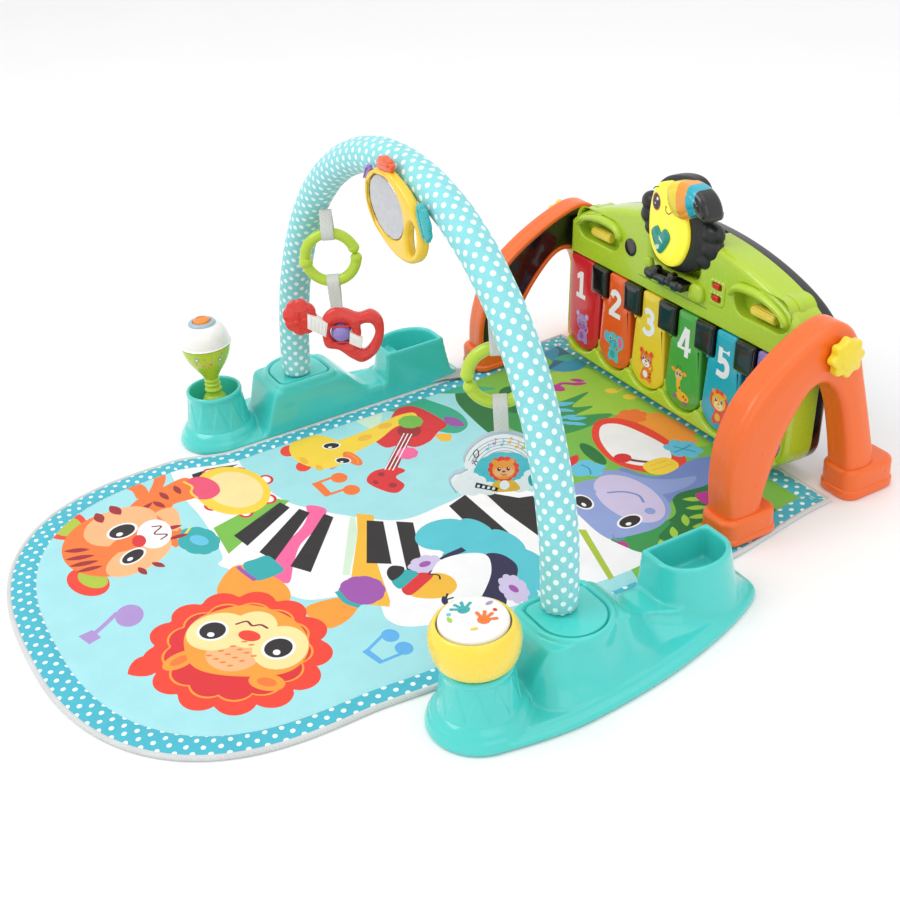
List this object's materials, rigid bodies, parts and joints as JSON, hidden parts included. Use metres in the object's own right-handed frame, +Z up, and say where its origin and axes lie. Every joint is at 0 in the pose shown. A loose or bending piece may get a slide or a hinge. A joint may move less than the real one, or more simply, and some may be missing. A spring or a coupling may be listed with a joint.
{
  "type": "activity play gym",
  "caption": "Baby play gym: padded mat with a round end, toy arch on two moulded bases with hanging toys, and a tilting kick piano between A-frame legs.",
  "frame": {"origin": "on the floor under the middle of the mat, straight below the arch's feet", "axes": "+Z up, +Y along the mat from its round end to the piano, +X across the mat towards the drum side"},
  "size_m": [0.786, 0.964, 0.4483],
  "materials": {
    "mat_fabric": "printed polyester face over thin wadding, soft matt weave",
    "base_plastic": "glossy moulded turquoise plastic",
    "underside_plastic": "plain moulded cover",
    "core_plastic": "smooth tube under the sleeve",
    "sleeve_fabric": "padded fabric sleeve printed with white dots",
    "lime_plastic": "glossy moulded lime plastic",
    "white_plastic": "glossy moulded white plastic",
    "orange_plastic": "satin moulded orange plastic",
    "black_plastic": "glossy moulded black plastic",
    "yellow_plastic": "glossy moulded yellow plastic",
    "red_plastic": "glossy moulded red plastic",
    "lilac_plastic": "glossy moulded lilac plastic",
    "green_plastic": "glossy moulded green plastic",
    "turquoise_plastic": "glossy moulded turquoise plastic",
    "teal_plastic": "moulded teal plastic",
    "webbing": "narrow woven webbing",
    "mirror_film": "shatterproof mirror film on plastic",
    "card_plastic": "thin printed plastic card",
    "board": "printed circuit board"
  },
  "bodies": {
    "root": {"play_mat": "mat_fabric", "left_base": "base_plastic", "left_base_underplate": "underside_plastic", "left_arch_foot": "base_plastic", "right_base": "base_plastic", "right_base_underplate": "underside_plastic", "right_arch_foot": "base_plastic", "arch_tube": "core_plastic", "arch_sleeve": "sleeve_fabric", "drum_bowl": "yellow_plastic", "left_leg_outer_shell": "orange_plastic", "left_leg_inner_shell": "black_plastic", "left_front_boot": "orange_plastic", "left_rear_boot": "orange_plastic", "right_leg_outer_shell": "orange_plastic", "right_leg_inner_shell": "black_plastic", "right_front_boot": "orange_plastic", "right_rear_boot": "orange_plastic"},
    "left_knob": {"left_clamp_knob": "yellow_plastic"},
    "right_knob": {"right_clamp_knob": "yellow_plastic"},
    "piano": {"piano_front_shell": "lime_plastic", "piano_back_cover": "black_plastic", "battery_door": "black_plastic", "battery_pack": "underside_plastic", "circuit_board": "board", "speaker": "underside_plastic", "black_keys": "black_plastic", "bird_perch": "black_plastic", "bird_body": "black_plastic", "bird_belly": "yellow_plastic", "bird_beak": "orange_plastic"},
    "key_1_body": {"key_1": "red_plastic"},
    "key_2_body": {"key_2": "orange_plastic"},
    "key_3_body": {"key_3": "yellow_plastic"},
    "key_4_body": {"key_4": "green_plastic"},
    "key_5_body": {"key_5": "turquoise_plastic"},
    "key_6_body": {"key_6": "lilac_plastic"},
    "heart": {"heart_button": "teal_plastic"},
    "volume": {"volume_switch": "red_plastic"},
    "mode": {"mode_switch": "red_plastic"},
    "roller_l": {"left_roller": "yellow_plastic"},
    "roller_r": {"right_roller": "yellow_plastic"},
    "maraca": {"maraca_handle": "lime_plastic", "maraca_cap": "white_plastic", "maraca_button": "orange_plastic"},
    "drum": {"drum_pad": "white_plastic"},
    "left_toy": {"left_toy_loop": "webbing", "left_toy_ring": "lime_plastic", "left_toy_strap": "webbing", "guitar_body": "red_plastic", "guitar_head": "red_plastic"},
    "ball": {"guitar_ball": "lilac_plastic"},
    "right_toy": {"right_toy_loop": "webbing", "right_toy_ring": "lime_plastic", "right_toy_strap": "webbing", "song_card": "card_plastic"},
    "mirror": {"mirror_frame": "yellow_plastic", "mirror_glass": "mirror_film", "mirror_leaf_orange": "orange_plastic", "mirror_leaf_teal": "teal_plastic"}
  },
  "joints": [
    {"name": "piano_tilt", "type": "hinge", "parent": "root", "child": "piano", "pos_m": [-0.024, 0.415, 0.186], "axis": [1, 0, 0], "range_deg": [-30, 20]},
    {"name": "left_knob_turn", "type": "hinge", "parent": "root", "child": "left_knob", "pos_m": [-0.286, 0.415, 0.186], "axis": [1, 0, 0], "range_deg": [-180, 180]},
    {"name": "right_knob_turn", "type": "hinge", "parent": "root", "child": "right_knob", "pos_m": [0.238, 0.415, 0.186], "axis": [1, 0, 0], "range_deg": [-180, 180]},
    {"name": "key_1_press", "type": "hinge", "parent": "piano", "child": "key_1_body", "pos_m": [-0.2025, 0.40286, 0.15577], "axis": [1, 0, 0], "range_deg": [0, 2.6], "stiffness_Nm_per_rad": 3},
    {"name": "key_2_press", "type": "hinge", "parent": "piano", "child": "key_2_body", "pos_m": [-0.1311, 0.40286, 0.15577], "axis": [1, 0, 0], "range_deg": [0, 2.6], "stiffness_Nm_per_rad": 3},
    {"name": "key_3_press", "type": "hinge", "parent": "piano", "child": "key_3_body", "pos_m": [-0.0597, 0.40286, 0.15577], "axis": [1, 0, 0], "range_deg": [0, 2.6], "stiffness_Nm_per_rad": 3},
    {"name": "key_4_press", "type": "hinge", "parent": "piano", "child": "key_4_body", "pos_m": [0.0117, 0.40286, 0.15577], "axis": [1, 0, 0], "range_deg": [0, 2.6], "stiffness_Nm_per_rad": 3},
    {"name": "key_5_press", "type": "hinge", "parent": "piano", "child": "key_5_body", "pos_m": [0.0831, 0.40286, 0.15577], "axis": [1, 0, 0], "range_deg": [0, 2.6], "stiffness_Nm_per_rad": 3},
    {"name": "key_6_press", "type": "hinge", "parent": "piano", "child": "key_6_body", "pos_m": [0.1545, 0.40286, 0.15577], "axis": [1, 0, 0], "range_deg": [0, 2.6], "stiffness_Nm_per_rad": 3},
    {"name": "heart_press", "type": "slide", "parent": "piano", "child": "heart", "axis": [0, 0.9976, -0.0698], "range_m": [0, 0.0025], "stiffness_N_per_m": 400},
    {"name": "volume_slide", "type": "slide", "parent": "piano", "child": "volume", "axis": [1, 0, 0], "range_m": [-0.0035, 0.0035]},
    {"name": "mode_slide", "type": "slide", "parent": "piano", "child": "mode", "axis": [1, 0, 0], "range_m": [-0.0035, 0.0035]},
    {"name": "left_roller_spin", "type": "hinge", "parent": "piano", "child": "roller_l", "pos_m": [-0.18, 0.40423, 0.19678], "axis": [1, 0, 0], "continuous": true},
    {"name": "right_roller_spin", "type": "hinge", "parent": "piano", "child": "roller_r", "pos_m": [0.132, 0.40423, 0.19678], "axis": [1, 0, 0], "continuous": true},
    {"name": "maraca_lift", "type": "slide", "parent": "root", "child": "maraca", "axis": [0, 0, 1], "range_m": [0, 0.06]},
    {"name": "drum_press", "type": "slide", "parent": "root", "child": "drum", "axis": [0, 0, -1], "range_m": [0, 0.003], "stiffness_N_per_m": 600},
    {"name": "left_toy_swing", "type": "hinge", "parent": "root", "child": "left_toy", "pos_m": [-0.186, 0.01707, 0.326], "axis": [1, 0, 0], "range_deg": [-30, 30]},
    {"name": "guitar_ball_spin", "type": "hinge", "parent": "left_toy", "child": "ball", "pos_m": [-0.185, 0.0188, 0.169], "axis": [0, 0, 1], "continuous": true},
    {"name": "right_toy_swing", "type": "hinge", "parent": "root", "child": "right_toy", "pos_m": [0.186, 0.01707, 0.326], "axis": [1, 0, 0], "range_deg": [-30, 30]},
    {"name": "mirror_swing", "type": "hinge", "parent": "root", "child": "mirror", "pos_m": [0.039, -0.003, 0.434], "axis": [1, 0, 0], "range_deg": [-30, 0]}
  ]
}
